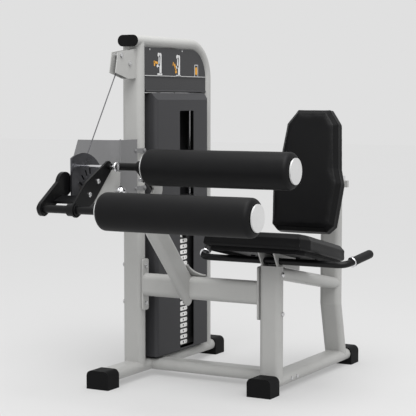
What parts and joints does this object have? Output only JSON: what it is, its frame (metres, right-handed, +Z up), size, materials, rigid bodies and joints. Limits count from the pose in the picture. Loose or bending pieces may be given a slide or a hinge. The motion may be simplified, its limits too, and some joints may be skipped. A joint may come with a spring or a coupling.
{
  "type": "leg extension machine",
  "caption": "Seated leg machine: shrouded weight tower, cable and cam, swinging lever with foam roller, adjustable thigh roller, seat with handles and sliding backrest on an oval tube frame.",
  "frame": {"origin": "on the floor, at the middle of the bounding box", "axes": "+X from the weight tower to the seat, +Y from the rollers at the front to the backrest at the rear, +Z up"},
  "size_m": [1.221, 1.5713, 1.5],
  "materials": {
    "frame_paint": "silver-grey powder coat",
    "black_paint": "black powder coat",
    "shroud_paint": "dark grey textured paint",
    "placard": "dark grey satin paint",
    "moulding": "fine-grained moulded plastic",
    "cap_rubber": "matt rubber",
    "chrome": "polished",
    "zinc": "zinc plated",
    "bronze": "sintered bronze",
    "cast": "grey paint on cast metal",
    "plate_iron": "black paint on cast iron",
    "cable": "plastic-coated steel cable",
    "pulley": "moulded nylon",
    "disc": "satin",
    "foam": "closed-cell foam sleeve",
    "upholstery": "grained leatherette over foam",
    "steel": "ground plate",
    "guard_paint": "dark satin enamel",
    "grip": "ribbed rubber"
  },
  "bodies": {
    "machine_frame": {"tower_base_tube": "frame_paint", "seat_base_tube": "frame_paint", "floor_beam": "frame_paint", "front_upright": "frame_paint", "arch_tube": "frame_paint", "tube_caps": "cap_rubber", "placard": "placard", "shroud_front": "shroud_paint", "shroud_rear": "shroud_paint", "guide_rods": "chrome", "stack_base": "moulding", "weight_plates": "plate_iron", "pulley_bracket": "frame_paint", "rear_pulley_hanger": "frame_paint", "weight_cable": "cable", "seat_front_post": "frame_paint", "seat_beam": "frame_paint", "seat_rear_post": "frame_paint", "cross_beam": "frame_paint", "frame_bolts": "zinc", "brace": "frame_paint", "pivot_arm": "frame_paint", "bearing_housing": "frame_paint", "bearing_bushes": "bronze", "thigh_bracket": "frame_paint", "cable_guard": "guard_paint", "seat_mount": "frame_paint", "seat_pan": "moulding", "seat_cushion": "upholstery", "handle_bar": "black_paint", "hand_grips": "grip", "back_sleeve": "frame_paint"},
    "cam": {"cam": "cast", "cam_cable": "cable", "index_plate": "steel", "knee_shaft": "chrome"},
    "lever": {"lever_hub": "frame_paint", "lever_frame": "black_paint", "lever_bolt_set": "zinc", "counter_arm": "black_paint", "leg_roller_shaft": "black_paint"},
    "leg_roller": {"leg_roller_hub": "disc", "leg_roller_foam": "foam"},
    "start_pin": {"start_pin": "chrome"},
    "thigh_arm": {"thigh_arm": "black_paint", "thigh_roller_shaft": "black_paint"},
    "thigh_roller": {"thigh_roller_hub": "disc", "thigh_roller_foam": "foam"},
    "thigh_pin": {"thigh_pin": "chrome"},
    "stack": {"picked_plates": "plate_iron", "top_plate": "plate_iron", "selector_rod": "chrome", "stack_cable": "cable"},
    "selector_pin": {"selector_pin": "moulding"},
    "front_pulley": {"front_pulley": "pulley"},
    "rear_pulley": {"rear_pulley": "pulley"},
    "back": {"back_bar": "chrome", "back_plate": "moulding", "back_cushion": "upholstery"},
    "back_lever": {"back_lever": "frame_paint"}
  },
  "joints": [
    {"name": "cam_swing", "type": "hinge", "parent": "machine_frame", "child": "cam", "pos_m": [-0.43852, -0.40833, 0.848], "axis": [1, 0, 0], "range_deg": [0, 90]},
    {"name": "start_angle", "type": "hinge", "parent": "cam", "child": "lever", "pos_m": [-0.43852, -0.40833, 0.848], "axis": [1, 0, 0], "range_deg": [-36, 0]},
    {"name": "start_pin_pull", "type": "slide", "parent": "lever", "child": "start_pin", "axis": [1, 0, 0], "range_m": [-0.0085, 0]},
    {"name": "leg_roller_spin", "type": "hinge", "parent": "lever", "child": "leg_roller", "pos_m": [0.15148, -0.71067, 0.79469], "axis": [1, 0, 0], "continuous": true},
    {"name": "stack_lift", "type": "slide", "parent": "machine_frame", "child": "stack", "axis": [0, 0, 1], "range_m": [0, 0.12567], "deforming": ["stack_cable"]},
    {"name": "selector_pull", "type": "slide", "parent": "stack", "child": "selector_pin", "axis": [1, 0, 0], "range_m": [0, 0.06]},
    {"name": "front_pulley_spin", "type": "hinge", "parent": "machine_frame", "child": "front_pulley", "pos_m": [-0.43852, -0.10133, 1.376], "axis": [1, 0, 0], "range_deg": [0, 160]},
    {"name": "rear_pulley_spin", "type": "hinge", "parent": "machine_frame", "child": "rear_pulley", "pos_m": [-0.43852, 0.26267, 1.376], "axis": [1, 0, 0], "range_deg": [0, 160]},
    {"name": "thigh_adjust", "type": "hinge", "parent": "machine_frame", "child": "thigh_arm", "pos_m": [-0.22252, -0.21633, 0.85], "axis": [1, 0, 0], "range_deg": [-20, 0]},
    {"name": "thigh_pin_pull", "type": "slide", "parent": "thigh_arm", "child": "thigh_pin", "axis": [-1, 0, 0], "range_m": [-0.0075, 0]},
    {"name": "thigh_roller_spin", "type": "hinge", "parent": "thigh_arm", "child": "thigh_roller", "pos_m": [0.15148, -0.34433, 0.947], "axis": [1, 0, 0], "continuous": true},
    {"name": "back_slide", "type": "slide", "parent": "machine_frame", "child": "back", "axis": [0, -1, 0], "range_m": [0, 0.072]},
    {"name": "back_lever_pull", "type": "slide", "parent": "machine_frame", "child": "back_lever", "axis": [1, 0, 0], "range_m": [-0.0035, 0]}
  ],
  "couplings": [
    {"joint": "stack_lift", "follows": "cam_swing", "m_per_rad": 0.08},
    {"joint": "front_pulley_spin", "follows": "cam_swing", "ratio": 1.7777},
    {"joint": "rear_pulley_spin", "follows": "cam_swing", "ratio": 1.7777}
  ]
}
